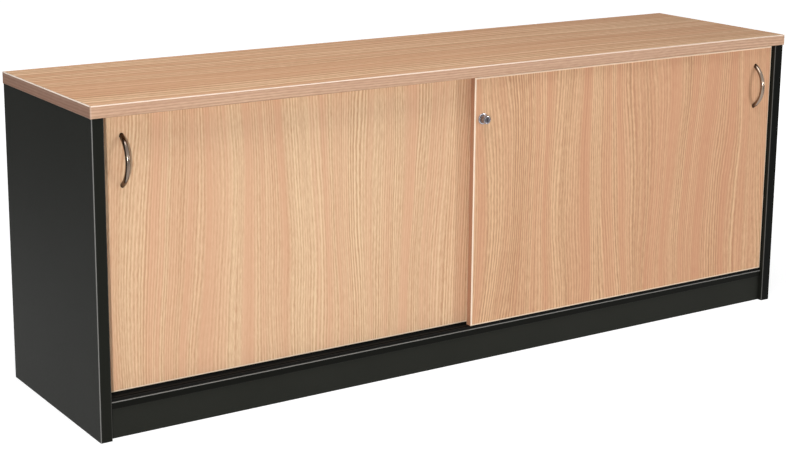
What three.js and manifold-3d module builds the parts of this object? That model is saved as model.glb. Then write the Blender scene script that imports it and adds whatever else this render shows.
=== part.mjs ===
import * as THREE from 'three';
import { mergeVertices } from 'three/addons/utils/BufferGeometryUtils.js';
import Module from 'manifold-3d';

// Low office credenza with two sliding doors. Millimetres, +Z up, the front looks toward -Y.
// The origin is on the floor, under the middle of the whole outline with the handles.

// Driving dimensions of the carcass
const worktopWidth = 1800;
const worktopDepth = 450;
const overallHeight = 665;
const worktopThickness = 25;
const endThickness = 25;
const overhang = 2.5;
const edgingThickness = 3;
const edgingRound = 2.5;
const boardRound = 2;
const baseThickness = 16;
const baseTop = 76;
const baseSetBack = 11;
const kickThickness = 16;
const kickSetBack = 15;
const backThickness = 16;
const innerBoard = 18;
const dividerBehindDoor = 8;
const shelfSetBack = 10;
const shelfPlay = 1;

// Driving dimensions of the doors
const doorThickness = 18;
const doorSetBack = 12.5;
const doorSpacing = 32;
const frontDoorPastCentre = 11;
const rearDoorPastCentre = 33;
const doorSidePlay = 1.5;
const doorTopPlay = 2.5;
const doorLift = 6.5;
const doorRound = 2;

// Driving dimensions of the running gear
const wheelRadius = 9;
const wheelWidth = 5;
const wheelPlay = 0.8;
const wheelChamfer = 0.6;
const wheelSlotPlay = 1;
const wheelSlotSidePlay = 0.5;
const axleRadius = 1.5;
const rollerFromEdge = 120;
const housingLength = 50;
const housingWidth = 12;
const housingHeight = 18;
const trackFloor = 1.2;
const trackWall = 1.4;
const trackHeight = 4.5;
const trackEndPlay = 1;
const linerWall = 1.2;
const linerHeight = 9.4;
const guideRadius = 3;
const guideLength = 36;
const guidePlay = 0.6;
const guideReach = 7.5;
const guideBore = 46;
const guideFromEdge = 60;
const guideFootChamfer = 0.5;
const guideNose = 2;
const guideNoseTip = 0.7;

// Driving dimensions of the handles
const handleCentres = 96;
const handleBar = 10;
const handleBow = 27;
const handleFromEdge = 52;
const handleBelowTop = 92.5;
const handleFootPastScrew = 0.5;
const screwRadius = 2;
const screwHead = 4;
const screwHeadHeight = 2.4;
const screwGrip = 4;
const screwChamfer = 0.5;
const screwHeadChamfer = 1;

// Driving dimensions of the lock
const lockFromEdge = 21;
const lockBelowTop = 90.5;
const lockBodyRadius = 10.8;
const lockFlangeRadius = 12.3;
const lockFlange = 2.5;
const lockBarrelRadius = 9.2;
const lockReach = 17.5;
const lockTravel = 9;
const lockWall = 2;
const lockBehindDoor = 1.5;
const lockEndPlay = 0.5;
const lockChamfer = 0.8;
const boltRadius = 4;
const boltTip = 2.5;
const boltChamfer = 0.6;
const plugRadius = 5.5;
const plugLength = 11.4;
const plugChamfer = 0.4;
const keyholeWidth = 1.4;
const keyholeHeight = 7;
const keyholeDepth = 8;
const strikeWidth = 18;
const strikeHeight = 44;
const strikeDepth = 10;
const strikePlay = 1;
const strikeScrewRadius = 1.8;
const strikeScrewHead = 3.4;
const strikeHeadDepth = 3;
const strikeScrewFromMiddle = 15;
const strikeScrewLength = 20;
const strikeScrewTip = 2;

// Driving dimensions of the small fixings
const pinRadius = 2.5;
const pinInBoard = 7;
const pinLength = 16;
const pinChamfer = 0.6;
const pinFromFront = 45;
const pinFromBack = 45;
const dowelRadius = 4;
const dowelInWorktop = 11;
const dowelInPanel = 19;
const dowelFromFront = 80;
const dowelFromBack = 60;

// Clearances: between bonded or touching pieces, and behind glued edging
const seam = 0.3;
const glueLine = 0.1;

// How far a cutting shape runs past the face it cuts
const cutPast = 1;

// Derived places. Y is counted from the worktop's front edge toward the back.
const worktopUnder = overallHeight - worktopThickness;
const panelOuter = worktopWidth / 2 - overhang;
const panelInner = panelOuter - endThickness;
const backFront = worktopDepth - backThickness;
const baseUnder = baseTop - baseThickness;
const innerSpan = 2 * (panelInner - seam);
const doorBottom = baseTop + doorLift;
const doorTop = worktopUnder - doorTopPlay;
const doorHeight = doorTop - doorBottom;
const doorOuterEdge = panelInner - doorSidePlay;
const frontDoorFace = doorSetBack;
const rearDoorFace = doorSetBack + doorSpacing;
const frontDoorMiddle = frontDoorFace + doorThickness / 2;
const rearDoorMiddle = rearDoorFace + doorThickness / 2;
const dividerFront = rearDoorFace + doorThickness + dividerBehindDoor;
const shelfFront = dividerFront + shelfSetBack;
const shelfUnder = (baseTop + worktopUnder) / 2 - innerBoard / 2;
const trackBottom = baseTop + seam;
const wheelCentre = trackBottom + trackFloor + seam + wheelRadius;
const guideTop = worktopUnder + guideReach;
const handleReach = handleBow + handleBar / 2 - doorSetBack;
const worktopFront = (handleReach - worktopDepth) / 2;

// Finishes
const beechTop = new THREE.MeshStandardMaterial({ color: 0xcda486, roughness: 0.45, metalness: 0 });
const beechDoor = new THREE.MeshStandardMaterial({ color: 0xdcac86, roughness: 0.45, metalness: 0 });
const beechEdge = new THREE.MeshStandardMaterial({ color: 0xcca892, roughness: 0.4, metalness: 0 });
const charcoal = new THREE.MeshStandardMaterial({ color: 0x2a2c28, roughness: 0.5, metalness: 0 });
const blackPlastic = new THREE.MeshStandardMaterial({ color: 0x1a1a19, roughness: 0.5, metalness: 0 });
const nylon = new THREE.MeshStandardMaterial({ color: 0xd8d6cf, roughness: 0.5, metalness: 0 });
const nickel = new THREE.MeshStandardMaterial({ color: 0xb9b2ab, roughness: 0.3, metalness: 1 });
const steel = new THREE.MeshStandardMaterial({ color: 0xa9abad, roughness: 0.35, metalness: 1 });
const dowelWood = new THREE.MeshStandardMaterial({ color: 0xd9bd94, roughness: 0.7, metalness: 0 });

// Cutting and joining
const wasm = await Module();
wasm.setup();

function welded(geometry) {
  const bare = geometry.clone();
  bare.deleteAttribute('normal');
  bare.deleteAttribute('uv');
  const merged = mergeVertices(bare, 1e-4);
  const kept = [];
  const index = merged.index.array;
  for (let i = 0; i < index.length; i += 3) {
    const corners = [index[i], index[i + 1], index[i + 2]];
    if (new Set(corners).size === 3) {
      kept.push(...corners);
    }
  }
  merged.setIndex(kept);
  return merged;
}

function toSolid(geometry) {
  const closed = welded(geometry);
  const vertProperties = Float32Array.from(closed.attributes.position.array);
  const triVerts = Uint32Array.from(closed.index.array);
  return new wasm.Manifold(new wasm.Mesh({ numProp: 3, vertProperties, triVerts }));
}

function toGeometry(solid) {
  const mesh = solid.getMesh();
  const geometry = new THREE.BufferGeometry();
  geometry.setAttribute('position', new THREE.BufferAttribute(Float32Array.from(mesh.vertProperties), 3));
  geometry.setIndex(Array.from(mesh.triVerts));
  geometry.computeVertexNormals();
  return geometry;
}

function cut(geometry, cutters) {
  let solid = toSolid(geometry);
  for (const cutter of cutters) {
    solid = solid.subtract(toSolid(cutter));
  }
  return toGeometry(solid);
}

function common(geometry, other) {
  return toGeometry(toSolid(geometry).intersect(toSolid(other)));
}

// Basic shapes
function block(x0, x1, y0, y1, z0, z1) {
  const shape = new THREE.BoxGeometry(x1 - x0, y1 - y0, z1 - z0);
  return shape.translate((x0 + x1) / 2, (y0 + y1) / 2, (z0 + z1) / 2);
}

function rodAlongX(radius, x0, x1, y, z, sides = 16) {
  const shape = new THREE.CylinderGeometry(radius, radius, x1 - x0, sides);
  return shape.rotateZ(Math.PI / 2).translate((x0 + x1) / 2, y, z);
}

function rodAlongY(radius, x, y0, y1, z, sides = 16) {
  const shape = new THREE.CylinderGeometry(radius, radius, y1 - y0, sides);
  return shape.translate(x, (y0 + y1) / 2, z);
}

function rodAlongZ(radius, x, y, z0, z1, sides = 16) {
  const shape = new THREE.CylinderGeometry(radius, radius, z1 - z0, sides);
  return shape.rotateX(Math.PI / 2).translate(x, y, (z0 + z1) / 2);
}

// A turned shape about Y from pairs of radius and height
function turned(profile, sides = 24) {
  return new THREE.LatheGeometry(profile.map(([r, y]) => new THREE.Vector2(r, y)), sides);
}

// A rectangle whose four corners have their own radii: low-low, high-low, high-high, low-high
function roundedRectangle(u0, u1, v0, v1, [r00, r10, r11, r01]) {
  const outline = new THREE.Shape();
  const quarter = Math.PI / 2;
  outline.moveTo(u0 + r00, v0);
  outline.lineTo(u1 - r10, v0);
  if (r10) {
    outline.absarc(u1 - r10, v0 + r10, r10, -quarter, 0);
  }
  outline.lineTo(u1, v1 - r11);
  if (r11) {
    outline.absarc(u1 - r11, v1 - r11, r11, 0, quarter);
  }
  outline.lineTo(u0 + r01, v1);
  if (r01) {
    outline.absarc(u0 + r01, v1 - r01, r01, quarter, 2 * quarter);
  }
  outline.lineTo(u0, v0 + r00);
  if (r00) {
    outline.absarc(u0 + r00, v0 + r00, r00, 2 * quarter, 3 * quarter);
  }
  return outline;
}

const plainExtrude = { bevelEnabled: false, curveSegments: 3 };

// An outline in Y and Z, run along X
function alongX(outline, x0, x1) {
  const shape = new THREE.ExtrudeGeometry(outline, { ...plainExtrude, depth: x1 - x0 });
  const turn = new THREE.Matrix4().makeBasis(
    new THREE.Vector3(0, 1, 0), new THREE.Vector3(0, 0, 1), new THREE.Vector3(1, 0, 0));
  return shape.applyMatrix4(turn).translate(x0, 0, 0);
}

// An outline in X and Z, run along Y
function alongY(outline, y0, y1) {
  const shape = new THREE.ExtrudeGeometry(outline, { ...plainExtrude, depth: y1 - y0 });
  return shape.rotateX(Math.PI / 2).translate(0, y1, 0);
}

// An outline in X and Y, run along Z
function alongZ(outline, z0, z1) {
  const shape = new THREE.ExtrudeGeometry(outline, { ...plainExtrude, depth: z1 - z0 });
  return shape.translate(0, 0, z0);
}

// An upright board with its front and back edges rounded, from y 0 to its thickness
function roundedBoard(width, height, thickness, round) {
  const outline = roundedRectangle(-width / 2, width / 2, 0, height, [0, 0, 0, 0]);
  const shape = new THREE.ExtrudeGeometry(outline, {
    depth: thickness - 2 * round, bevelEnabled: true, bevelSegments: 3,
    bevelThickness: round, bevelSize: round, bevelOffset: -round });
  return shape.rotateX(Math.PI / 2).translate(0, thickness - round, 0);
}

function addPiece(group, name, geometry, material, x = 0, y = 0, z = 0) {
  const piece = new THREE.Mesh(welded(geometry), material);
  piece.name = name;
  piece.position.set(x, y, z);
  group.add(piece);
  return piece;
}

const credenza = new THREE.Group();
credenza.position.y = worktopFront;

// Worktop: a core with two grooves under it for the upper tracks, dowel bores and four edging strips
const linerWidth = 2 * (guideRadius + guidePlay + linerWall);
const linerEnd = panelInner - trackEndPlay;
const grooveTop = worktopUnder + linerHeight + seam;
const coreInset = edgingThickness + glueLine;

function grooveAt(y) {
  const half = linerWidth / 2 + seam;
  return block(-linerEnd - seam, linerEnd + seam, y - half, y + half, worktopUnder - cutPast, grooveTop);
}

const dowelPlaces = [];
for (const side of [-1, 1]) {
  for (const y of [dowelFromFront, worktopDepth - dowelFromBack]) {
    dowelPlaces.push([side * (panelInner + panelOuter) / 2, y]);
  }
}

const core = block(
  -worktopWidth / 2 + coreInset, worktopWidth / 2 - coreInset,
  coreInset, worktopDepth - coreInset, worktopUnder, overallHeight);
const coreCuts = [grooveAt(frontDoorMiddle), grooveAt(rearDoorMiddle)];
for (const [x, y] of dowelPlaces) {
  const boreTop = worktopUnder + dowelInWorktop + seam;
  coreCuts.push(rodAlongZ(dowelRadius + seam, x, y, worktopUnder - cutPast, boreTop));
}
addPiece(credenza, 'worktop_panel', cut(core, coreCuts), beechTop);

const worktopCorners = [edgingThickness, edgingThickness, edgingThickness, edgingThickness];
const worktopPlan = alongZ(
  roundedRectangle(-worktopWidth / 2, worktopWidth / 2, 0, worktopDepth, worktopCorners),
  worktopUnder - cutPast, overallHeight + cutPast);
const lowEdgeRound = [edgingRound, 0, 0, edgingRound];
const highEdgeRound = [0, edgingRound, edgingRound, 0];
const frontStrip = alongX(
  roundedRectangle(0, edgingThickness, worktopUnder, overallHeight, lowEdgeRound),
  -worktopWidth / 2, worktopWidth / 2);
const backStrip = alongX(
  roundedRectangle(worktopDepth - edgingThickness, worktopDepth, worktopUnder, overallHeight, highEdgeRound),
  -worktopWidth / 2, worktopWidth / 2);
addPiece(credenza, 'worktop_edge_front', common(frontStrip, worktopPlan), beechEdge);
addPiece(credenza, 'worktop_edge_back', common(backStrip, worktopPlan), beechEdge);
const leftStrip = alongY(
  roundedRectangle(
    -worktopWidth / 2, -worktopWidth / 2 + edgingThickness, worktopUnder, overallHeight, lowEdgeRound),
  coreInset, worktopDepth - coreInset);
const rightStrip = alongY(
  roundedRectangle(
    worktopWidth / 2 - edgingThickness, worktopWidth / 2, worktopUnder, overallHeight, highEdgeRound),
  coreInset, worktopDepth - coreInset);
addPiece(credenza, 'worktop_edge_left', leftStrip, beechEdge);
addPiece(credenza, 'worktop_edge_right', rightStrip, beechEdge);

// Shelf pins: two rows in each board face that carries a shelf
const pinHeight = shelfUnder - seam - pinRadius;
const pinRows = [
  ['front', shelfFront + pinFromFront],
  ['back', backFront - shelfPlay - pinFromBack],
];

function pinBore(faceX, direction, y) {
  const deep = faceX - direction * (pinInBoard + seam);
  const out = faceX + direction * cutPast;
  return rodAlongX(pinRadius + seam, Math.min(deep, out), Math.max(deep, out), y, pinHeight, 12);
}

// End panels: floor to worktop, front corners eased, with dowel bores on top and pin bores inside
for (const [side, name] of [[-1, 'left'], [1, 'right']]) {
  const x0 = Math.min(side * panelInner, side * panelOuter);
  const x1 = Math.max(side * panelInner, side * panelOuter);
  const plan = roundedRectangle(x0, x1, overhang, worktopDepth, [boardRound, boardRound, 0, 0]);
  const bores = [];
  for (const [x, y] of dowelPlaces) {
    if (Math.sign(x) === side) {
      const boreFloor = worktopUnder - dowelInPanel - seam;
      bores.push(rodAlongZ(dowelRadius + seam, x, y, boreFloor, worktopUnder + cutPast));
    }
  }
  for (const [, y] of pinRows) {
    bores.push(pinBore(side * panelInner, -side, y));
  }
  addPiece(credenza, `${name}_end_panel`, cut(alongZ(plan, 0, worktopUnder - seam), bores), charcoal);
}
const dowelNames = ['left_front', 'left_back', 'right_front', 'right_back'];
dowelPlaces.forEach(([x, y], i) => {
  const low = worktopUnder - dowelInPanel;
  const high = worktopUnder + dowelInWorktop;
  addPiece(credenza, `dowel_${dowelNames[i]}`, rodAlongZ(dowelRadius, x, y, low, high), dowelWood);
});

// Base panel on a recessed kick board, and a back panel from the floor to the worktop
const basePlan = roundedRectangle(
  baseSetBack, backFront - seam, baseUnder, baseTop, [boardRound, 0, 0, boardRound]);
addPiece(credenza, 'base_panel', alongX(basePlan, -innerSpan / 2, innerSpan / 2), charcoal);
const kick = block(
  -innerSpan / 2, innerSpan / 2, kickSetBack, kickSetBack + kickThickness, 0, baseUnder - seam);
addPiece(credenza, 'kick_board', kick, charcoal);
const back = block(-innerSpan / 2, innerSpan / 2, backFront, worktopDepth, 0, worktopUnder - seam);
addPiece(credenza, 'back_panel', back, charcoal);

// Centre divider and one shelf on each side of it, each shelf on four pins
const divider = block(
  -innerBoard / 2, innerBoard / 2, dividerFront, backFront - seam, baseTop + seam, worktopUnder - seam);
const dividerBores = [];
for (const direction of [-1, 1]) {
  for (const [, y] of pinRows) {
    dividerBores.push(pinBore(direction * innerBoard / 2, direction, y));
  }
}
addPiece(credenza, 'centre_divider', cut(divider, dividerBores), charcoal);

const pinShape = turned([
  [0, 0], [pinRadius - pinChamfer, 0], [pinRadius, pinChamfer], [pinRadius, pinLength - pinChamfer],
  [pinRadius - pinChamfer, pinLength], [0, pinLength],
], 12).rotateZ(-Math.PI / 2);
for (const [side, name] of [[-1, 'left'], [1, 'right']]) {
  const near = innerBoard / 2 + shelfPlay;
  const far = panelInner - shelfPlay;
  const shelf = block(
    Math.min(side * near, side * far), Math.max(side * near, side * far),
    shelfFront, backFront - shelfPlay, shelfUnder, shelfUnder + innerBoard);
  addPiece(credenza, `${name}_shelf`, shelf, charcoal);
  for (const [row, y] of pinRows) {
    const endPin = side * (panelInner + pinInBoard);
    const middlePin = side * (innerBoard / 2 - pinInBoard);
    const endX = side < 0 ? endPin : endPin - pinLength;
    const middleX = side < 0 ? middlePin - pinLength : middlePin;
    addPiece(credenza, `shelf_pin_${name}_end_${row}`, pinShape, steel, endX, y, pinHeight);
    addPiece(credenza, `shelf_pin_${name}_middle_${row}`, pinShape, steel, middleX, y, pinHeight);
  }
}

// Lower track: one strip with a groove for each door
const grooveHalf = wheelWidth / 2 + wheelPlay;
const trackOutline = new THREE.Shape();
const trackTop = trackBottom + trackHeight;
const grooveFloor = trackBottom + trackFloor;
const trackStart = frontDoorMiddle - grooveHalf - trackWall;
const trackFinish = rearDoorMiddle + grooveHalf + trackWall;
trackOutline.moveTo(trackStart, trackBottom);
trackOutline.lineTo(trackFinish, trackBottom);
trackOutline.lineTo(trackFinish, trackTop);
for (const middle of [rearDoorMiddle, frontDoorMiddle]) {
  trackOutline.lineTo(middle + grooveHalf, trackTop);
  trackOutline.lineTo(middle + grooveHalf, grooveFloor);
  trackOutline.lineTo(middle - grooveHalf, grooveFloor);
  trackOutline.lineTo(middle - grooveHalf, trackTop);
  if (middle === rearDoorMiddle) {
    trackOutline.lineTo(middle - grooveHalf - trackWall, trackTop);
    trackOutline.lineTo(middle - grooveHalf - trackWall, grooveFloor);
    trackOutline.lineTo(frontDoorMiddle + grooveHalf + trackWall, grooveFloor);
    trackOutline.lineTo(frontDoorMiddle + grooveHalf + trackWall, trackTop);
  }
}
trackOutline.lineTo(trackStart, trackTop);
addPiece(credenza, 'bottom_track', alongX(trackOutline, -linerEnd, linerEnd), blackPlastic);

// Upper tracks: a downward channel let into each groove of the worktop
for (const [name, middle] of [['front', frontDoorMiddle], ['rear', rearDoorMiddle]]) {
  const liner = block(
    -linerEnd, linerEnd, middle - linerWidth / 2, middle + linerWidth / 2,
    worktopUnder, worktopUnder + linerHeight);
  const channelHalf = linerWidth / 2 - linerWall;
  const channel = block(
    -linerEnd - cutPast, linerEnd + cutPast, middle - channelHalf, middle + channelHalf,
    worktopUnder - cutPast, worktopUnder + linerHeight - linerWall);
  addPiece(credenza, `top_track_${name}`, cut(liner, [channel]), blackPlastic);
}

// Bow handle: a round bar on a circular arc between two feet cut flat against the door
function bowHandle() {
  const footOut = handleCentres / 2 + handleFootPastScrew;
  const arcRadius = (footOut ** 2 + handleBow ** 2) / (2 * handleBow);
  const centre = handleBow - arcRadius;
  const lastAngle = Math.acos((-centre - handleBar) / arcRadius);
  const steps = 24;
  const points = [];
  for (let i = 0; i <= steps; i += 1) {
    const angle = -lastAngle + (2 * lastAngle * i) / steps;
    points.push(new THREE.Vector3(0, -centre - arcRadius * Math.cos(angle), arcRadius * Math.sin(angle)));
  }
  const section = new THREE.Shape();
  section.absarc(0, 0, handleBar / 2, 0, 2 * Math.PI);
  const bar = new THREE.ExtrudeGeometry(section, {
    extrudePath: new THREE.CatmullRomCurve3(points), steps, curveSegments: 6, bevelEnabled: false });
  const reach = handleBow + handleBar;
  const cutters = [block(-handleBar, handleBar, -seam, 2 * reach, -handleCentres, handleCentres)];
  for (const end of [-1, 1]) {
    const boreEnd = -seam - screwGrip - seam;
    cutters.push(rodAlongY(screwRadius + seam, 0, boreEnd, cutPast, end * handleCentres / 2, 12));
  }
  return cut(bar, cutters);
}

// Handle screw from the door's back face into the handle's foot, along -Y from its head
function handleScrew() {
  const length = doorThickness + seam + screwGrip;
  const headTop = seam + screwHeadHeight;
  return turned([
    [0, -length], [screwRadius - screwChamfer, -length], [screwRadius, -length + screwChamfer],
    [screwRadius, seam], [screwHead, seam], [screwHead, headTop - screwHeadChamfer],
    [screwHead - screwHeadChamfer, headTop], [0, headTop],
  ], 16);
}

// Roller wheel with a bore for its axle, turning about Y
function rollerWheel() {
  const half = wheelWidth / 2;
  const bore = axleRadius + seam;
  return turned([
    [bore, -half], [wheelRadius - wheelChamfer, -half], [wheelRadius, -half + wheelChamfer],
    [wheelRadius, half - wheelChamfer], [wheelRadius - wheelChamfer, half], [bore, half], [bore, -half],
  ], 32);
}

// Roller housing: a block with a slot for the wheel and a bore for the axle, from its lower face up
const wheelInDoor = wheelCentre - doorBottom;

function rollerHousing() {
  const body = block(
    -housingLength / 2, housingLength / 2, -housingWidth / 2, housingWidth / 2, 0, housingHeight);
  const slotHalf = wheelRadius + wheelSlotPlay;
  const slotSide = wheelWidth / 2 + wheelSlotSidePlay;
  const slot = block(-slotHalf, slotHalf, -slotSide, slotSide, -cutPast, wheelInDoor + slotHalf);
  const bore = rodAlongY(axleRadius + seam, 0, -housingWidth, housingWidth, wheelInDoor);
  return cut(body, [slot, bore]);
}

// Sprung guide pin with a rounded nose, from its foot up
function guidePin() {
  return turned([
    [0, 0], [guideRadius - guideFootChamfer, 0], [guideRadius, guideFootChamfer],
    [guideRadius, guideLength - guideNose], [guideRadius * 0.8, guideLength - guideNoseTip],
    [guideRadius * 0.45, guideLength], [0, guideLength],
  ], 16).rotateX(Math.PI / 2);
}

// Push lock: housing through the front door, barrel with its bolt, and the key plug
const lockBack = doorThickness + lockBehindDoor;
const lockBarrelBack = lockBack - lockWall - lockTravel - lockEndPlay;

function lockHousing() {
  const bore = lockBarrelRadius + seam;
  const front = -seam - lockFlange;
  return turned([
    [bore, front], [lockFlangeRadius - lockChamfer, front], [lockFlangeRadius, front + lockChamfer],
    [lockFlangeRadius, -seam], [lockBodyRadius, -seam], [lockBodyRadius, lockBack],
    [boltRadius + seam, lockBack], [boltRadius + seam, lockBack - lockWall],
    [bore, lockBack - lockWall], [bore, front],
  ], 32);
}

function lockBarrel() {
  const plugBore = plugRadius + seam;
  const plugFloor = -lockReach + plugLength + 2 * seam;
  const tip = doorThickness + boltTip;
  return turned([
    [0, plugFloor], [plugBore, plugFloor], [plugBore, -lockReach],
    [lockBarrelRadius - lockChamfer, -lockReach], [lockBarrelRadius, -lockReach + lockChamfer],
    [lockBarrelRadius, lockBarrelBack], [boltRadius, lockBarrelBack],
    [boltRadius, tip - boltChamfer], [boltRadius - boltChamfer, tip], [0, tip],
  ], 32);
}

function lockPlug() {
  const front = -lockReach + seam;
  const body = turned([
    [0, front], [plugRadius - plugChamfer, front], [plugRadius, front + plugChamfer],
    [plugRadius, front + plugLength], [0, front + plugLength],
  ], 24);
  const keyhole = block(
    -keyholeWidth / 2, keyholeWidth / 2, front - cutPast, front + keyholeDepth,
    -keyholeHeight / 2, keyholeHeight / 2);
  return cut(body, [keyhole]);
}

// Strike: a block on the rear door's face with a square hole that takes the bolt, held by two screws
function lockStrike() {
  const body = block(
    -strikeWidth / 2, strikeWidth / 2, -seam - strikeDepth, -seam, -strikeHeight / 2, strikeHeight / 2);
  const hole = boltRadius + strikePlay;
  const cutters = [block(-hole, hole, -strikeDepth - cutPast, cutPast, -hole, hole)];
  for (const end of [-1, 1]) {
    const z = end * strikeScrewFromMiddle;
    const headFloor = -strikeDepth + strikeHeadDepth;
    cutters.push(rodAlongY(strikeScrewHead + seam, 0, -strikeDepth - cutPast, headFloor, z));
    cutters.push(rodAlongY(strikeScrewRadius + seam, 0, -strikeDepth - cutPast, cutPast, z));
  }
  return cut(body, cutters);
}

function strikeScrew() {
  const front = -strikeDepth;
  const headBack = front + strikeHeadDepth - seam;
  return turned([
    [0, front], [strikeScrewHead, front], [strikeScrewHead, headBack], [strikeScrewRadius, headBack],
    [strikeScrewRadius, front + strikeScrewLength - strikeScrewTip], [0, front + strikeScrewLength],
  ], 16);
}

// A door, with its handle and running gear. Inside its group X is from the middle, Y from the front face
// and Z from the lower edge. Outward is -1 for the door whose outer edge is on the left.
function buildDoor(name, outward, face, pastCentre) {
  const door = new THREE.Group();
  const doorWidth = doorOuterEdge + pastCentre;
  const doorMiddle = outward * (doorOuterEdge - pastCentre) / 2;
  door.position.set(doorMiddle, face, doorBottom);
  credenza.add(door);
  const middle = doorThickness / 2;
  const handleX = outward * (doorWidth / 2 - handleFromEdge);
  const handleZ = doorHeight - handleBelowTop;
  const lockX = lockFromEdge - frontDoorPastCentre - doorMiddle;
  const lockZ = doorHeight - lockBelowTop;
  const ends = [[-1, 'left'], [1, 'right']];
  const cutters = [];
  for (const [end] of ends) {
    const rollerX = end * (doorWidth / 2 - rollerFromEdge);
    const pocketHalf = housingLength / 2 + seam;
    const pocketSide = housingWidth / 2 + seam;
    cutters.push(block(
      rollerX - pocketHalf, rollerX + pocketHalf, middle - pocketSide, middle + pocketSide,
      -cutPast, housingHeight + seam));
    const guideX = end * (doorWidth / 2 - guideFromEdge);
    const boreFloor = doorHeight - guideBore;
    cutters.push(rodAlongZ(guideRadius + seam, guideX, middle, boreFloor, doorHeight + cutPast));
    const screwZ = handleZ + end * handleCentres / 2;
    cutters.push(rodAlongY(screwRadius + seam, handleX, -cutPast, doorThickness + cutPast, screwZ, 12));
  }
  const locked = name === 'right';
  if (locked) {
    cutters.push(rodAlongY(lockBodyRadius + seam, lockX, -cutPast, doorThickness + cutPast, lockZ, 32));
  } else {
    for (const end of [-1, 1]) {
      const screwEnd = strikeScrewLength - strikeDepth + seam;
      const screwZ = lockZ + end * strikeScrewFromMiddle;
      cutters.push(rodAlongY(strikeScrewRadius + seam, lockX, -cutPast, screwEnd, screwZ));
    }
  }
  const board = roundedBoard(doorWidth, doorHeight, doorThickness, doorRound);
  addPiece(door, `${name}_door`, cut(board, cutters), beechDoor);
  addPiece(door, `${name}_handle`, bowHandle(), nickel, handleX, 0, handleZ);
  for (const [end, row] of [[-1, 'lower'], [1, 'upper']]) {
    const screwZ = handleZ + end * handleCentres / 2;
    addPiece(door, `${name}_handle_screw_${row}`, handleScrew(), steel, handleX, doorThickness, screwZ);
  }
  for (const [end, place] of ends) {
    const rollerX = end * (doorWidth / 2 - rollerFromEdge);
    const guideX = end * (doorWidth / 2 - guideFromEdge);
    const guideFoot = guideTop - guideLength - doorBottom;
    const axleHalf = housingWidth / 2 - seam;
    const axle = rodAlongY(axleRadius, 0, -axleHalf, axleHalf, 0);
    addPiece(door, `${name}_door_housing_${place}`, rollerHousing(), blackPlastic, rollerX, middle, 0);
    addPiece(door, `${name}_door_axle_${place}`, axle, steel, rollerX, middle, wheelInDoor);
    addPiece(door, `${name}_door_wheel_${place}`, rollerWheel(), nylon, rollerX, middle, wheelInDoor);
    addPiece(door, `${name}_door_guide_${place}`, guidePin(), nylon, guideX, middle, guideFoot);
  }
  if (locked) {
    addPiece(door, 'lock_housing', lockHousing(), nickel, lockX, 0, lockZ);
    addPiece(door, 'lock_barrel', lockBarrel(), nickel, lockX, 0, lockZ);
    addPiece(door, 'lock_plug', lockPlug(), steel, lockX, 0, lockZ);
  } else {
    addPiece(door, 'lock_strike', lockStrike(), blackPlastic, lockX, 0, lockZ);
    for (const [end, row] of [[-1, 'lower'], [1, 'upper']]) {
      const screwZ = lockZ + end * strikeScrewFromMiddle;
      addPiece(door, `lock_strike_screw_${row}`, strikeScrew(), steel, lockX, 0, screwZ);
    }
  }
}

buildDoor('left', -1, rearDoorFace, rearDoorPastCentre);
buildDoor('right', 1, frontDoorFace, frontDoorPastCentre);

export default credenza;
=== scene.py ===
import math
import bpy
import bmesh
from mathutils import Color, Matrix, Vector


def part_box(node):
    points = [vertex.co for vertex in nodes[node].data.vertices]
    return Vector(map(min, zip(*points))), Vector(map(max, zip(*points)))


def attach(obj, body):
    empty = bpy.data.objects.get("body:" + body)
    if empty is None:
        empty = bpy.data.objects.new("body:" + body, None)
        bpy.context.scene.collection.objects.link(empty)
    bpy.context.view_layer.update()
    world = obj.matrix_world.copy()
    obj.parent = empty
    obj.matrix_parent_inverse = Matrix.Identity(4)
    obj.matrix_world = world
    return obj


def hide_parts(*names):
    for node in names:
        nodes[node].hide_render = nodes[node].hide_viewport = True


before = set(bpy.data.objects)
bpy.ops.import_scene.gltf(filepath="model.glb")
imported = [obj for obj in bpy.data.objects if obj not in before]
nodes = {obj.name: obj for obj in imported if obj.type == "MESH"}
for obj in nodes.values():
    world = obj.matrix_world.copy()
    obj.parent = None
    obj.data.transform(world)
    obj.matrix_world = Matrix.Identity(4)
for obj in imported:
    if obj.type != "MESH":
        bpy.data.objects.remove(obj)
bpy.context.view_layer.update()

scene = bpy.context.scene
scene.view_settings.view_transform = "Standard"
print("frame loaded,", len(nodes), "pieces")


def linkNew(name, data):
    made = bpy.data.objects.new(name, data)
    scene.collection.objects.link(made)
    return made


# camera

cameraSettings = {
    "place": (-2.1475, -3.1337, 1.2672),  # metres, in front on the left
    "yaw": 33.343,  # degrees to the right of straight ahead
    "pitch": 12.542,  # degrees down
    "roll": 0.470,
    "focalPixels": 1719.5,
    "imageWidth": 787.0,
    "shiftPixels": 70.0,
    "sensor": 36.0,  # millimetres
    "farthest": 200.0,  # metres
}


def makeCamera(s):
    yaw, pitch, roll = (math.radians(s[name]) for name in ("yaw", "pitch", "roll"))
    level = Vector((math.sin(yaw), math.cos(yaw), 0))
    right = Vector((math.cos(yaw), -math.sin(yaw), 0))
    upright = Vector((0, 0, 1))
    forward = level * math.cos(pitch) - upright * math.sin(pitch)
    up = upright * math.cos(pitch) + level * math.sin(pitch)
    tiltedRight = right * math.cos(roll) + up * math.sin(roll)
    tiltedUp = up * math.cos(roll) - right * math.sin(roll)
    data = bpy.data.cameras.new("camera")
    data.sensor_fit = "HORIZONTAL"
    data.sensor_width = s["sensor"]
    data.lens = s["focalPixels"] / s["imageWidth"] * s["sensor"]
    data.shift_y = -s["shiftPixels"] / s["imageWidth"]
    data.clip_end = s["farthest"]
    camera = linkNew("camera", data)
    turn = Matrix((tiltedRight, tiltedUp, -forward)).transposed().to_4x4()
    camera.matrix_world = Matrix.Translation(s["place"]) @ turn
    scene.camera = camera


makeCamera(cameraSettings)
print("camera placed")


# small helpers for node trees

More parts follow.
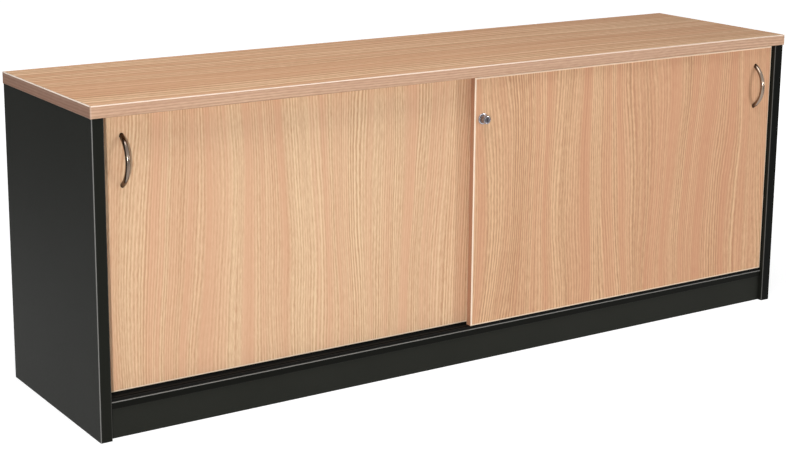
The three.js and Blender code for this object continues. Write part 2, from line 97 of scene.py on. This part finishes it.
nodeGrid = {"rows": 8, "across": 220, "down": 200}  # where new nodes lie in the editor
mixSockets = {"a": 6, "b": 7, "result": 2}  # the colour sockets of a Mix node
socketKinds = {"number": "NodeSocketFloat", "colour": "NodeSocketColor", "vector": "NodeSocketVector"}


def putNode(tree, kind, **values):
    column, row = divmod(len(tree.nodes), nodeGrid["rows"])
    made = tree.nodes.new(kind)
    made.location = (column * nodeGrid["across"], -row * nodeGrid["down"])
    for key, value in values.items():
        setattr(made, key, value)
    return made


def feed(tree, socket, value):  # a socket is linked, anything else becomes the socket's own value
    if isinstance(value, bpy.types.NodeSocket):
        tree.links.new(value, socket)
    else:
        socket.default_value = value


def calc(tree, operation, a, b=None, clamp=False):
    made = putNode(tree, "ShaderNodeMath", operation=operation, use_clamp=clamp)
    feed(tree, made.inputs[0], a)
    if b is not None:
        feed(tree, made.inputs[1], b)
    return made.outputs[0]


def remap(tree, value, span, newSpan):
    made = putNode(tree, "ShaderNodeMapRange", clamp=True)
    feed(tree, made.inputs["Value"], value)
    for name, number in zip(("From Min", "From Max", "To Min", "To Max"), (*span, *newSpan)):
        feed(tree, made.inputs[name], number)
    return made.outputs["Result"]


def mixColour(tree, factor, a, b):
    made = putNode(tree, "ShaderNodeMix", data_type="RGBA")
    feed(tree, made.inputs["Factor"], factor)
    feed(tree, made.inputs[mixSockets["a"]], a)
    feed(tree, made.inputs[mixSockets["b"]], b)
    return made.outputs[mixSockets["result"]]


def point(tree, *values):
    made = putNode(tree, "ShaderNodeCombineXYZ")
    for socket, value in zip(made.inputs, values):
        feed(tree, socket, value)
    return made.outputs[0]


def axesOf(tree, vector):
    split = putNode(tree, "ShaderNodeSeparateXYZ")
    feed(tree, split.inputs[0], vector)
    return split.outputs


def noise(tree, vector, scale, detail, roughness):
    made = putNode(tree, "ShaderNodeTexNoise", noise_dimensions="3D")
    for name, value in (("Vector", vector), ("Scale", scale), ("Detail", detail), ("Roughness", roughness)):
        feed(tree, made.inputs[name], value)
    return made.outputs["Fac"]


def linear(red, green, blue):  # colours are written as screen values from 0 to 255
    screen = Color((red / 255, green / 255, blue / 255))
    return (*screen.from_srgb_to_scene_linear(), 1.0)


def newGroup(name, inputs, outputs):
    group = bpy.data.node_groups.new(name, "ShaderNodeTree")
    for direction, sockets in (("INPUT", inputs), ("OUTPUT", outputs)):
        for kind, labels in sockets.items():
            for label in labels.split():
                group.interface.new_socket(label, in_out=direction, socket_type=socketKinds[kind])
    start = putNode(group, "NodeGroupInput")
    finish = putNode(group, "NodeGroupOutput")
    return group, start.outputs, finish.inputs


def placeGroup(tree, group, **values):
    made = putNode(tree, "ShaderNodeGroup")
    made.node_tree = group
    for key, value in values.items():
        feed(tree, made.inputs[key], value)
    return made.outputs


# shared effects

figureSettings = {
    # noise layers: cells a metre along and across the grain, offset, octaves and how rough they are
    "bend": (1.3, 3.4, 21.3, 1.5, 0.45),
    "waver": (0.9, 26.0, 41.7, 1.0, 0.5),
    "wobble": (20.0, 30.0, 47.9, 2.0, 0.6),
    "strength": (0.9, 20.0, 57.1, 1.0, 0.5),
    "streaks": (3.0, 260.0, 9.3, 1.0, 0.5),
    "rays": (50.0, 330.0, 13.9, 2.5, 0.7),
    "bands": (0.4, 52.0, 5.1, 2.5, 0.55),
    "broad": (0.25, 9.0, 1.7, 1.5, 0.5),
    "blush": (0.3, 34.0, 33.7, 2.5, 0.6),
    "middle": 0.5,  # of a noise layer, and of the tone between pale and deep
    "linesPerMetre": 137.0,
    "waverReach": 0.014,  # metres
    "wobbleShare": 0.02,  # of the arches
    "strengthSpan": (0.35, 0.65),
    "rippleSpan": (0.12, 0.36),  # how clear the regular lines are, from faint to strong stretches
    "streakSpan": (0.17, 0.83),
    "blushSpan": (0.42, 0.62),
    "blushShare": (0.0, 0.7),
    "lineSpan": (0.2, 0.8),
    "roughness": (0.44, 0.56),
}


def makeBeechFigure(s):
    group, given, result = newGroup(
        "beechFigure",
        {"number": "Along Across Board Lines Rays Bands Arches Fineness", "colour": "Pale Deep Rosy"},
        {"colour": "Color", "number": "Roughness Height"})
    across, arches, middle = given["Across"], given["Arches"], s["middle"]

    def layer(name, sideways):
        alongScale, acrossScale, offset, detail, roughness = s[name]
        spot = point(
            group, calc(group, "MULTIPLY", given["Along"], alongScale),
            calc(group, "MULTIPLY", sideways, acrossScale), calc(group, "ADD", given["Board"], offset))
        return noise(group, spot, 1.0, detail, roughness)

    # the growth lines lean and arch a little, so everything fine follows a bent coordinate
    bend = calc(group, "SUBTRACT", layer("bend", across), middle)
    bent = calc(group, "ADD", across, calc(group, "MULTIPLY", bend, arches))
    waver = calc(group, "MULTIPLY", layer("waver", across), s["waverReach"])
    wobbleReach = calc(group, "MULTIPLY", arches, s["wobbleShare"])
    wobble = calc(group, "MULTIPLY", layer("wobble", across), wobbleReach)
    fine = calc(group, "ADD", bent, calc(group, "ADD", waver, wobble))
    fine = calc(group, "MULTIPLY", fine, given["Fineness"])

    # regular growth lines of changing strength, with irregular streaks and short flecks between them
    ripple = calc(group, "SINE", calc(group, "MULTIPLY", fine, 2 * math.pi * s["linesPerMetre"]))
    strength = remap(group, layer("strength", bent), s["strengthSpan"], s["rippleSpan"])
    streaks = remap(group, layer("streaks", fine), (0.0, 1.0), s["streakSpan"])
    lines = calc(group, "ADD", calc(group, "MULTIPLY", ripple, strength), streaks)
    rays = layer("rays", fine)
    linePart = calc(group, "MULTIPLY", calc(group, "SUBTRACT", lines, middle), given["Lines"])
    rayPart = calc(group, "MULTIPLY", calc(group, "SUBTRACT", rays, middle), given["Rays"])

    # wide bands of pale and deep wood, then a pink blush
    bands = calc(group, "ADD", layer("bands", bent), layer("broad", bent))
    bandPart = calc(group, "MULTIPLY", calc(group, "SUBTRACT", bands, 2 * middle), given["Bands"])
    tone = calc(group, "ADD", calc(group, "ADD", linePart, rayPart), bandPart)
    tone = calc(group, "ADD", tone, middle, clamp=True)
    colour = mixColour(group, tone, given["Pale"], given["Deep"])
    blush = remap(group, layer("blush", bent), s["blushSpan"], s["blushShare"])
    feed(group, result["Color"], mixColour(group, blush, colour, given["Rosy"]))
    feed(group, result["Roughness"], remap(group, lines, s["lineSpan"], s["roughness"]))
    feed(group, result["Height"], calc(group, "ADD", lines, rays))
    return group


easedEdgeSettings = {
    # spans of the surface normal's parts
    "corner": (0.955, 0.998),  # its largest part is smaller on a rounded corner than on a flat face
    "flat": (0.97, 0.99),
    "upward": (-0.2, -0.02),  # the painted highlight stays off corners that look down
    "sideways": (-0.3, 0.5),
    "wornAndLit": (1.0, 0.15),  # painted highlight, more on the corners to the left, which face the key lamp, than on those to the right
    "crest": (0.05, 0.25),
}


def makeEasedEdge(s):
    # finds a board's rounded corners, where the normal lies between two axes, and its front and sides;
    # Corner and Crest mask a painted highlight on those corners, Crest on the upper ones
    group, given, result = newGroup("easedEdge", {"vector": "Normal"}, {"number": "Corner Crest Side Front"})
    normal = axesOf(group, given["Normal"])
    sizes = {name: calc(group, "ABSOLUTE", normal[name]) for name in "XYZ"}
    side = calc(group, "MAXIMUM", sizes["X"], sizes["Z"])
    corner = remap(group, calc(group, "MAXIMUM", side, sizes["Y"]), s["corner"], (1.0, 0.0))
    corner = calc(group, "MULTIPLY", corner, remap(group, normal["Z"], s["upward"], (0.0, 1.0)))
    corner = calc(group, "MULTIPLY", corner, remap(group, normal["X"], s["sideways"], s["wornAndLit"]))
    crest = remap(group, normal["Z"], s["crest"], (0.0, 1.0))
    feed(group, result["Corner"], corner)
    feed(group, result["Crest"], calc(group, "MULTIPLY", corner, crest))
    feed(group, result["Side"], remap(group, side, s["flat"], (0.0, 1.0)))
    feed(group, result["Front"], remap(group, sizes["Y"], s["flat"], (0.0, 1.0)))
    return group


edgeLipSettings = {"fade": (0.85, 1.15)}  # shares of the lip's width


def makeEdgeLip(s):
    # the visible thickness of a door's edging, as a thin frame around its face, painted as a highlight that
    # stands partly for the edging's own paler tone
    group, given, result = newGroup(
        "edgeLip", {"number": "Across Up Left Right Bottom Top Width"}, {"number": "Mask"})
    nearest = calc(group, "SUBTRACT", given["Across"], given["Left"])
    for far, near in (("Right", "Across"), ("Up", "Bottom"), ("Top", "Up")):
        nearest = calc(group, "MINIMUM", nearest, calc(group, "SUBTRACT", given[far], given[near]))
    share = calc(group, "DIVIDE", nearest, given["Width"])
    feed(group, result["Mask"], remap(group, share, s["fade"], (1.0, 0.0)))
    return group


pebbleSettings = {
    "grain": (3.0, 0.5),  # octaves and how rough they are
    "cloud": (5.0, 4.0, 0.6),  # cells a metre, octaves and how rough they are
    "grainSpan": (0.3, 0.7),
    "roughness": (0.40, 0.55),
}


def makePebble(s):
    # fine grain of moulded, pressed and plated surfaces, with slow clouds
    group, given, result = newGroup(
        "pebble", {"vector": "Vector", "number": "Size"}, {"number": "Height Roughness Cloud"})
    grain = noise(group, given["Vector"], given["Size"], *s["grain"])
    feed(group, result["Height"], grain)
    feed(group, result["Roughness"], remap(group, grain, s["grainSpan"], s["roughness"]))
    feed(group, result["Cloud"], noise(group, given["Vector"], *s["cloud"]))
    return group


beechFigure = makeBeechFigure(figureSettings)
easedEdge = makeEasedEdge(easedEdgeSettings)
edgeLip = makeEdgeLip(edgeLipSettings)
pebble = makePebble(pebbleSettings)
print("shared effects made")


# materials

def newMaterial(name):
    material = bpy.data.materials.new(name)
    material.use_nodes = True
    tree = material.node_tree
    shader = next(node for node in tree.nodes if node.type == "BSDF_PRINCIPLED")
    return material, tree, shader


def objectSpot(tree):
    return putNode(tree, "ShaderNodeTexCoord").outputs["Object"]


def surfaceNormal(tree):
    return putNode(tree, "ShaderNodeNewGeometry").outputs["Normal"]


def addBump(tree, shader, height, strength, distance):
    bump = putNode(tree, "ShaderNodeBump")
    feed(tree, bump.inputs["Strength"], strength)
    feed(tree, bump.inputs["Distance"], distance)
    feed(tree, bump.inputs["Height"], height)
    feed(tree, shader.inputs["Normal"], bump.outputs["Normal"])


beechShared = {
    "edgeLine": (255, 240, 224),  # where an eased corner catches the light
    # painted shade on the doors' edges, with a little of the edging's own deeper tone
    "doorSideToneAndShade": (180, 134, 106),
    # painted highlight along the doors' eased edging, partly the edging's own paler tone
    "doorLipToneAndHighlight": (246, 222, 194),
    "lipWidth": 0.0032,
    "bump": (0.08, 0.0003),
}
worktopFigure = {
    "pale": (242, 204, 165), "deep": (197, 149, 111), "rosy": (210, 155, 117),
    "lines": 1.3, "rays": 1.2, "bands": 1.2, "arches": 0.06, "fineness": 0.4, "gloss": 0.015,
}
beechBoards = {
    # edgeLine gives the shares of the pale line on all corners and on the upper ones, a painted highlight
    # that stands partly for the edging's own paler rim
    "worktopBeech": {**worktopFigure, "along": "X", "across": "Y", "board": 2.0},
    "dowelBeech": {**worktopFigure, "along": "Z", "across": "X", "board": 93.0},
    "leftDoorBeech": {
        "pale": (240, 209, 170), "deep": (203, 155, 120), "rosy": (222, 171, 138),
        "lines": 1.15, "rays": 1.4, "bands": 0.6, "arches": 0.11, "fineness": 1.12, "gloss": 0.12,
        "along": "Z", "across": "X", "board": 31.0, "edgeLine": (0.85, 0.85), "door": "left_door"},
    # the right door's beech is painted deeper than the left's, partly the boards' own difference and partly
    # painted shade where the light falls off to the right
    "rightDoorBeech": {
        "pale": (234, 196, 156), "deep": (190, 140, 106), "rosy": (211, 155, 122),
        "lines": 1.1, "rays": 1.3, "bands": 0.5, "arches": 0.17, "fineness": 1.0, "gloss": 0.12,
        "along": "Z", "across": "X", "board": 57.0, "edgeLine": (0.6, 0.6), "door": "right_door"},
    "longEdging": {
        "pale": (216, 180, 152), "deep": (180, 140, 114), "rosy": (202, 160, 136),
        "lines": 0.8, "rays": 1.4, "bands": 0.5, "arches": 0.02, "fineness": 1.2, "gloss": 0.15,
        "along": "X", "across": "Z", "board": 71.0, "edgeLine": (0.15, 0.95)},
    # the worktop's end edging is painted darker than the long edging, painted shade
    "shortEdging": {
        "pale": (196, 160, 138), "deep": (150, 112, 92), "rosy": (180, 138, 118),
        "lines": 0.8, "rays": 1.2, "bands": 0.6, "arches": 0.02, "fineness": 1.2, "gloss": 0.12,
        "along": "Y", "across": "Z", "board": 83.0, "edgeLine": (0.15, 0.95)},
}


def beechMaterial(name, s, shared):
    material, tree, shader = newMaterial(name)
    axes = axesOf(tree, objectSpot(tree))
    figure = placeGroup(
        tree, beechFigure, Along=axes[s["along"]], Across=axes[s["across"]], Board=s["board"],
        Pale=linear(*s["pale"]), Deep=linear(*s["deep"]), Rosy=linear(*s["rosy"]), Lines=s["lines"],
        Rays=s["rays"], Bands=s["bands"], Arches=s["arches"], Fineness=s["fineness"])
    colour = figure["Color"]
    if "edgeLine" in s:
        edge = placeGroup(tree, easedEdge, Normal=surfaceNormal(tree))
        if "door" in s:
            low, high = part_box(s["door"])
            lip = placeGroup(
                tree, edgeLip, Across=axes["X"], Up=axes["Z"], Left=low[0], Right=high[0], Bottom=low[2],
                Top=high[2], Width=shared["lipWidth"])
            # painted highlight on the frame of edging
            colour = mixColour(tree, lip["Mask"], colour, linear(*shared["doorLipToneAndHighlight"]))
            # the door's edges painted darker, painted shade
            colour = mixColour(tree, edge["Side"], colour, linear(*shared["doorSideToneAndShade"]))
        # paint the highlight line on the eased corners, more on the upper ones
        cornerShare, crestShare = s["edgeLine"]
        corner = calc(tree, "MULTIPLY", edge["Corner"], cornerShare)
        crest = calc(tree, "MULTIPLY", edge["Crest"], crestShare)
        colour = mixColour(tree, calc(tree, "MAXIMUM", corner, crest), colour, linear(*shared["edgeLine"]))
    feed(tree, shader.inputs["Base Color"], colour)
    feed(tree, shader.inputs["Roughness"], figure["Roughness"])
    feed(tree, shader.inputs["Specular IOR Level"], s["gloss"])
    addBump(tree, shader, figure["Height"], *shared["bump"])
    return material


charcoalShared = {
    # painted highlight on the charcoal boards' eased corners
    "corner": (150, 149, 146),
    "grain": 900.0,
    "density": 1.13,  # index of refraction, low for a dull melamine face
    "bump": (0.25, 0.0003),
}
panelFace = {"body": (25, 26, 22), "cloud": (33, 34, 30)}
charcoalBoards = {
    # the strip is the smoother edging on a board's narrow front; it is painted lighter on the left end panel
    # and darker on the right end panel as painted light and shade, and cornerShare sets the painted corner
    # highlight, weaker on the right end panel
    "charcoalBoard": {**panelFace, "strip": (15, 16, 13), "cornerShare": 0.75},
    "charcoalLeftEnd": {**panelFace, "strip": (28, 29, 25), "cornerShare": 0.75},
    "charcoalRightEnd": {**panelFace, "strip": (9, 10, 8), "cornerShare": 0.3},
    "charcoalBase": {**panelFace, "strip": (15, 16, 13), "cornerShare": 0.95},
    "charcoalKick": {"body": (35, 36, 32), "cloud": (42, 43, 39)},
}


def charcoalMaterial(name, s, shared):
    material, tree, shader = newMaterial(name)
    texture = placeGroup(tree, pebble, Vector=objectSpot(tree), Size=shared["grain"])
    colour = mixColour(tree, texture["Cloud"], linear(*s["body"]), linear(*s["cloud"]))
    if "strip" in s:
        edge = placeGroup(tree, easedEdge, Normal=surfaceNormal(tree))
        colour = mixColour(tree, edge["Front"], colour, linear(*s["strip"]))
        # painted highlight on the rounded corners
        share = calc(tree, "MULTIPLY", edge["Corner"], s["cornerShare"])
        colour = mixColour(tree, share, colour, linear(*shared["corner"]))
    feed(tree, shader.inputs["Base Color"], colour)
    feed(tree, shader.inputs["Roughness"], texture["Roughness"])
    feed(tree, shader.inputs["IOR"], shared["density"])
    addBump(tree, shader, texture["Height"], *shared["bump"])
    return material


plasticShared = {"bump": (0.15, 0.0002)}
plastics = {
    "blackPlastic": {"body": (20, 20, 19), "cloud": (27, 27, 26), "grain": 1500.0, "density": 1.16},
    "whiteNylon": {"body": (214, 212, 204), "cloud": (224, 222, 215), "grain": 1200.0, "density": 1.45},
}


def plasticMaterial(name, s, shared):
    material, tree, shader = newMaterial(name)
    texture = placeGroup(tree, pebble, Vector=objectSpot(tree), Size=s["grain"])
    colour = mixColour(tree, texture["Cloud"], linear(*s["body"]), linear(*s["cloud"]))
    feed(tree, shader.inputs["Base Color"], colour)
    feed(tree, shader.inputs["Roughness"], texture["Roughness"])
    feed(tree, shader.inputs["IOR"], s["density"])
    addBump(tree, shader, texture["Height"], *shared["bump"])
    return material


metalShared = {
    "grainSpan": (0.3, 0.7),
    "bump": (0.05, 0.0001),
    # a handle is painted dark towards its feet, painted shade where the bar meets the door
    "footShadeColour": (30, 26, 24),
    "footShadeStart": 0.013,  # metres in front of the door
    "footShadeEnd": 0.002,
    "footShadeShare": (0.0, 0.85),
}
handleFinish = {"grain": 2500.0, "roughness": (0.14, 0.24)}
chromeFinish = {"grain": 2500.0, "roughness": (0.10, 0.18)}
metals = {
    # the two handles are one nickel painted at two tones, lighter on the right, as painted light; the dark
    # brownish body stands partly for painted reflection of the beech doors
    "leftHandleNickel": {
        **handleFinish, "body": (114, 101, 91), "wornAndLit": (134, 120, 108), "door": "left_door"},
    "rightHandleNickel": {
        **handleFinish, "body": (132, 117, 104), "wornAndLit": (152, 136, 121), "door": "right_door"},
    # the lock's rosette, barrel and plug are painted at three tones of one chrome, painted highlight on the
    # rosette and painted shade on the barrel and plug
    "rosetteChrome": {**chromeFinish, "body": (160, 156, 159), "wornAndLit": (184, 180, 183)},
    "barrelChrome": {**chromeFinish, "body": (134, 130, 134), "wornAndLit": (154, 150, 154)},
    "plugSteel": {
        "body": (92, 88, 92), "wornAndLit": (110, 106, 110), "grain": 2500.0, "roughness": (0.16, 0.26)},
    "zincSteel": {
        "body": (168, 171, 174), "wornAndLit": (186, 188, 190), "grain": 1800.0, "roughness": (0.28, 0.42)},
}


def metalMaterial(name, s, shared):
    material, tree, shader = newMaterial(name)
    spot = objectSpot(tree)
    texture = placeGroup(tree, pebble, Vector=spot, Size=s["grain"])
    colour = mixColour(tree, texture["Cloud"], linear(*s["body"]), linear(*s["wornAndLit"]))
    if "door" in s:
        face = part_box(s["door"])[0][1]
        reach = (face - shared["footShadeStart"], face - shared["footShadeEnd"])
        # painted shade towards the handle's feet
        footShade = remap(tree, axesOf(tree, spot)["Y"], reach, shared["footShadeShare"])
        colour = mixColour(tree, footShade, colour, linear(*shared["footShadeColour"]))
    rough = remap(tree, texture["Height"], shared["grainSpan"], s["roughness"])
    feed(tree, shader.inputs["Base Color"], colour)
    feed(tree, shader.inputs["Roughness"], rough)
    feed(tree, shader.inputs["Metallic"], 1.0)
    addBump(tree, shader, texture["Height"], *shared["bump"])
    return material


finishes = {}
for makeFinish, settings, shared in (
        (beechMaterial, beechBoards, beechShared), (charcoalMaterial, charcoalBoards, charcoalShared),
        (plasticMaterial, plastics, plasticShared), (metalMaterial, metals, metalShared)):
    for name, s in settings.items():
        finishes[name] = makeFinish(name, s, shared)


def dress(finish, *names):
    for name in names:
        for slot in nodes[name].material_slots:
            slot.material = finishes[finish]


dress("worktopBeech", "worktop_panel")
dress("longEdging", "worktop_edge_front", "worktop_edge_back")
dress("shortEdging", "worktop_edge_left", "worktop_edge_right")
dress("charcoalBoard", "centre_divider", "left_shelf", "right_shelf")
dress("charcoalLeftEnd", "left_end_panel")
dress("charcoalRightEnd", "right_end_panel")
dress("charcoalBase", "base_panel")
dress("charcoalKick", "kick_board", "back_panel")
dress("leftDoorBeech", "left_door")
dress("rightDoorBeech", "right_door")
for name in nodes:
    if "track" in name or "housing_" in name or name == "lock_strike":
        dress("blackPlastic", name)
    elif "wheel" in name or "guide" in name:
        dress("whiteNylon", name)
    elif name.startswith("dowel"):
        dress("dowelBeech", name)
    elif "screw" in name or "axle" in name or "shelf_pin" in name:
        dress("zincSteel", name)
print("materials assigned")


# handles and lock

def sendMesh(name, shape, finish, sharpAngle):
    bmesh.ops.recalc_face_normals(shape, faces=shape.faces)
    mesh = bpy.data.meshes.new(name)
    shape.to_mesh(mesh)
    shape.free()
    mesh.polygons.foreach_set("use_smooth", [True] * len(mesh.polygons))
    mesh.set_sharp_from_angle(angle=math.radians(sharpAngle))
    mesh.materials.append(finishes[finish])
    return linkNew(name, mesh)


def bridge(shape, first, second):
    for i in range(len(first)):
        following = (i + 1) % len(first)
        shape.faces.new((first[i], first[following], second[following], second[i]))


handleSettings = {
    "barRadius": 0.005,
    "footHalf": 0.0485,  # from the middle of the bow to where its centre line meets the door
    "seat": 0.0003,
    "sides": 28,
    "steps": 64,
    "sharpAngle": 40,
}


def makeHandle(name, node, body, finish, s):
    low, high = (Vector(corner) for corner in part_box(node))
    middle = (low + high) / 2
    bow = high.y + s["seat"] - low.y - s["barRadius"]
    arc = (s["footHalf"] ** 2 + bow ** 2) / (2 * bow)
    centre = low.y + s["barRadius"] + arc
    shape = bmesh.new()
    rings = []
    for step in range(s["steps"] + 1):
        share = 2 * step / s["steps"] - 1
        ring = []
        for side in range(s["sides"]):
            turn = 2 * math.pi * side / s["sides"]
            radius = arc + s["barRadius"] * math.cos(turn)
            reach = math.acos((centre - high.y) / radius)  # each line along the bar ends on the door's face
            angle = share * reach
            ring.append(shape.verts.new((
                middle.x + s["barRadius"] * math.sin(turn),
                centre - radius * math.cos(angle),
                middle.z + radius * math.sin(angle))))
        rings.append(ring)
    for first, second in zip(rings, rings[1:]):
        bridge(shape, first, second)
    shape.faces.new(rings[0])
    shape.faces.new(rings[-1])
    made = sendMesh(name, shape, finish, s["sharpAngle"])
    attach(made, body)
    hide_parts(node)


lockSettings = {
    "sides": 48,
    "sharpAngle": 35,
    # profiles are radius and depth behind the door's face, in millimetres
    "rosette": [
        (9.5, -2.8), (11.0, -2.8), (11.7, -2.6), (12.15, -2.1), (12.3, -1.4), (12.3, -0.3), (10.8, -0.3),
        (10.8, 19.5), (4.3, 19.5), (4.3, 17.5), (9.5, 17.5)],
    "barrel": [
        (5.8, -5.5), (5.8, -17.1), (6.1, -17.4), (6.4, -17.5), (8.3, -17.5), (8.9, -17.2), (9.2, -16.6),
        (9.2, -14.6), (8.9, -14.3), (8.9, -13.7), (9.2, -13.4), (9.2, 8.0), (4.0, 8.0), (4.0, 19.9),
        (3.4, 20.5)],
    "plug": {
        "radius": 5.5, "front": -17.2, "length": 11.4, "ease": 0.4,
        "slotHalf": (0.7, 3.5), "slotDepth": 8.0},
}
millimetresPerMetre = 1000


def lockCentre():
    centre = sum((Vector(corner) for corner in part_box("lock_barrel")), Vector()) / 2
    centre.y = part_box("right_door")[0][1]
    return centre


def roundRing(shape, centre, radius, depth, sides):
    ring = []
    for i in range(sides):
        turn = 2 * math.pi * i / sides
        spot = Vector((radius * math.cos(turn), depth, radius * math.sin(turn)))
        ring.append(shape.verts.new(centre + spot / millimetresPerMetre))
    return ring


def slotRing(shape, centre, halfWidth, halfHeight, depth, sides):
    ring = []
    for i in range(sides):
        turn = 2 * math.pi * i / sides
        across, up = math.cos(turn), math.sin(turn)
        grow = min(half / abs(part) for half, part in ((halfWidth, across), (halfHeight, up)) if part)
        spot = Vector((across * grow, depth, up * grow))
        ring.append(shape.verts.new(centre + spot / millimetresPerMetre))
    return ring


def turnProfile(shape, centre, profile, sides):
    rings = [roundRing(shape, centre, radius, depth, sides) for radius, depth in profile]
    for first, second in zip(rings, rings[1:]):
        bridge(shape, first, second)
    return rings


def makeRosette(centre, s):
    shape = bmesh.new()
    rings = turnProfile(shape, centre, s["rosette"], s["sides"])
    bridge(shape, rings[-1], rings[0])
    rosette = sendMesh("lockRosette", shape, "rosetteChrome", s["sharpAngle"])
    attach(rosette, "right_sliding_door")
    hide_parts("lock_housing")


def makeBarrel(centre, s):
    shape = bmesh.new()
    rings = turnProfile(shape, centre, s["barrel"], s["sides"])
    shape.faces.new(rings[0])
    shape.faces.new(rings[-1])
    barrel = sendMesh("lockPushBarrel", shape, "barrelChrome", s["sharpAngle"])
    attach(barrel, "lock_barrel_body")
    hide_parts("lock_barrel")


def makeKeyPlug(centre, s):
    plug = s["plug"]
    front = plug["front"]
    shape = bmesh.new()
    rings = turnProfile(shape, centre, [
        (plug["radius"], front + plug["length"]), (plug["radius"], front + plug["ease"]),
        (plug["radius"] - plug["ease"], front)], s["sides"])
    shape.faces.new(rings[0])
    mouth = slotRing(shape, centre, *plug["slotHalf"], front, s["sides"])
    floor = slotRing(shape, centre, *plug["slotHalf"], front + plug["slotDepth"], s["sides"])
    bridge(shape, rings[-1], mouth)
    bridge(shape, mouth, floor)
    shape.faces.new(floor)
    keyPlug = sendMesh("lockKeyPlug", shape, "plugSteel", s["sharpAngle"])
    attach(keyPlug, "lock_plug_body")
    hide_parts("lock_plug")


makeHandle("leftBowHandle", "left_handle", "left_sliding_door", "leftHandleNickel", handleSettings)
makeHandle("rightBowHandle", "right_handle", "right_sliding_door", "rightHandleNickel", handleSettings)
for makePiece in (makeRosette, makeBarrel, makeKeyPlug):
    makePiece(lockCentre(), lockSettings)
print("handles and lock made")


# floor, world and lamps

floorSettings = {
    "colour": (0.40, 0.40, 0.40),
    "roughness": 0.9,
    "half": 60,  # metres from the middle to each side
    "cells": 8,
    "drop": 0.0005,  # metres below the feet
    "shadowReach": (1.0, 2.6),  # metres from the middle of the object
    "glow": (0.84, 1.0),  # the floor's own white, less where the object's shadow falls
    # what polished and melamine faces see of the floor, which darkens away from the object
    "mirrorReach": (1.4, 2.8),
    "mirror": (1.0, 0.3),
}


def mirroredRay(tree, path):
    return calc(tree, "MAXIMUM", path["Is Glossy Ray"], path["Is Transmission Ray"])


def makeFloor(s):
    mesh = bpy.data.meshes.new("studioFloor")
    shape = bmesh.new()
    bmesh.ops.create_grid(shape, x_segments=s["cells"], y_segments=s["cells"], size=s["half"])
    shape.to_mesh(mesh)
    shape.free()
    floor = linkNew("studioFloor", mesh)
    floor.location.z = -s["drop"]
    material, tree, shader = newMaterial("studioFloor")
    feed(tree, shader.inputs["Base Color"], (*s["colour"], 1))
    feed(tree, shader.inputs["Roughness"], s["roughness"])
    feed(tree, shader.inputs["Specular IOR Level"], 0.0)
    reach = putNode(tree, "ShaderNodeVectorMath", operation="LENGTH")
    feed(tree, reach.inputs[0], objectSpot(tree))
    glow = remap(tree, reach.outputs["Value"], s["shadowReach"], s["glow"])
    mirror = remap(tree, reach.outputs["Value"], s["mirrorReach"], s["mirror"])
    path = putNode(tree, "ShaderNodeLightPath").outputs
    straight = calc(tree, "MULTIPLY", path["Is Camera Ray"], glow)
    bent = calc(tree, "MULTIPLY", mirroredRay(tree, path), mirror)
    feed(tree, shader.inputs["Emission Color"], (1, 1, 1, 1))
    feed(tree, shader.inputs["Emission Strength"], calc(tree, "MAXIMUM", straight, bent))
    mesh.materials.append(material)


worldSettings = {"ambient": 0.12, "white": 1.0}


def makeWorld(s):
    world = bpy.data.worlds.new("studio")
    scene.world = world
    world.use_nodes = True
    tree = world.node_tree
    tree.nodes.clear()
    out = putNode(tree, "ShaderNodeOutputWorld")
    sky = putNode(tree, "ShaderNodeBackground")
    path = putNode(tree, "ShaderNodeLightPath").outputs
    seen = calc(tree, "MAXIMUM", path["Is Camera Ray"], mirroredRay(tree, path))
    feed(tree, sky.inputs["Strength"], remap(tree, seen, (0.0, 1.0), (s["ambient"], s["white"])))
    feed(tree, sky.inputs["Color"], (1, 1, 1, 1))
    feed(tree, out.inputs[0], sky.outputs[0])


lampSettings = [
    # name, place, aimed at, size across, level on a white card at the aim
    ("keyLamp", (-3.6, -5.0, 0.85), (-0.5, -0.2, 0.40), 0.25, 0.58),
    ("rightLamp", (2.3, -3.0, 0.85), (0.6, -0.2, 0.40), 0.45, 0.28),
    ("frontLamp", (-0.8, -5.0, 1.5), (-0.3, -0.2, 0.40), 3.0, 0.04),
    ("topLamp", (-0.9, -0.9, 3.4), (-0.1, 0.0, 0.66), 2.4, 0.81),
    ("backLamp", (2.6, 3.2, 0.42), (0.6, 0.2, 0.35), 0.45, 0.45),
]


def makeLamp(name, place, aim, size, level):
    away = Vector(place) - Vector(aim)
    data = bpy.data.lights.new(name, "AREA")
    data.shape = "DISK"
    data.size = size
    data.energy = level * math.pi ** 2 * away.length_squared  # watts for that level
    lamp = linkNew(name, data)
    lamp.location = place
    lamp.rotation_euler = away.to_track_quat("Z", "Y").to_euler()


makeFloor(floorSettings)
makeWorld(worldSettings)
for lampRow in lampSettings:
    makeLamp(*lampRow)
print("studio lit")
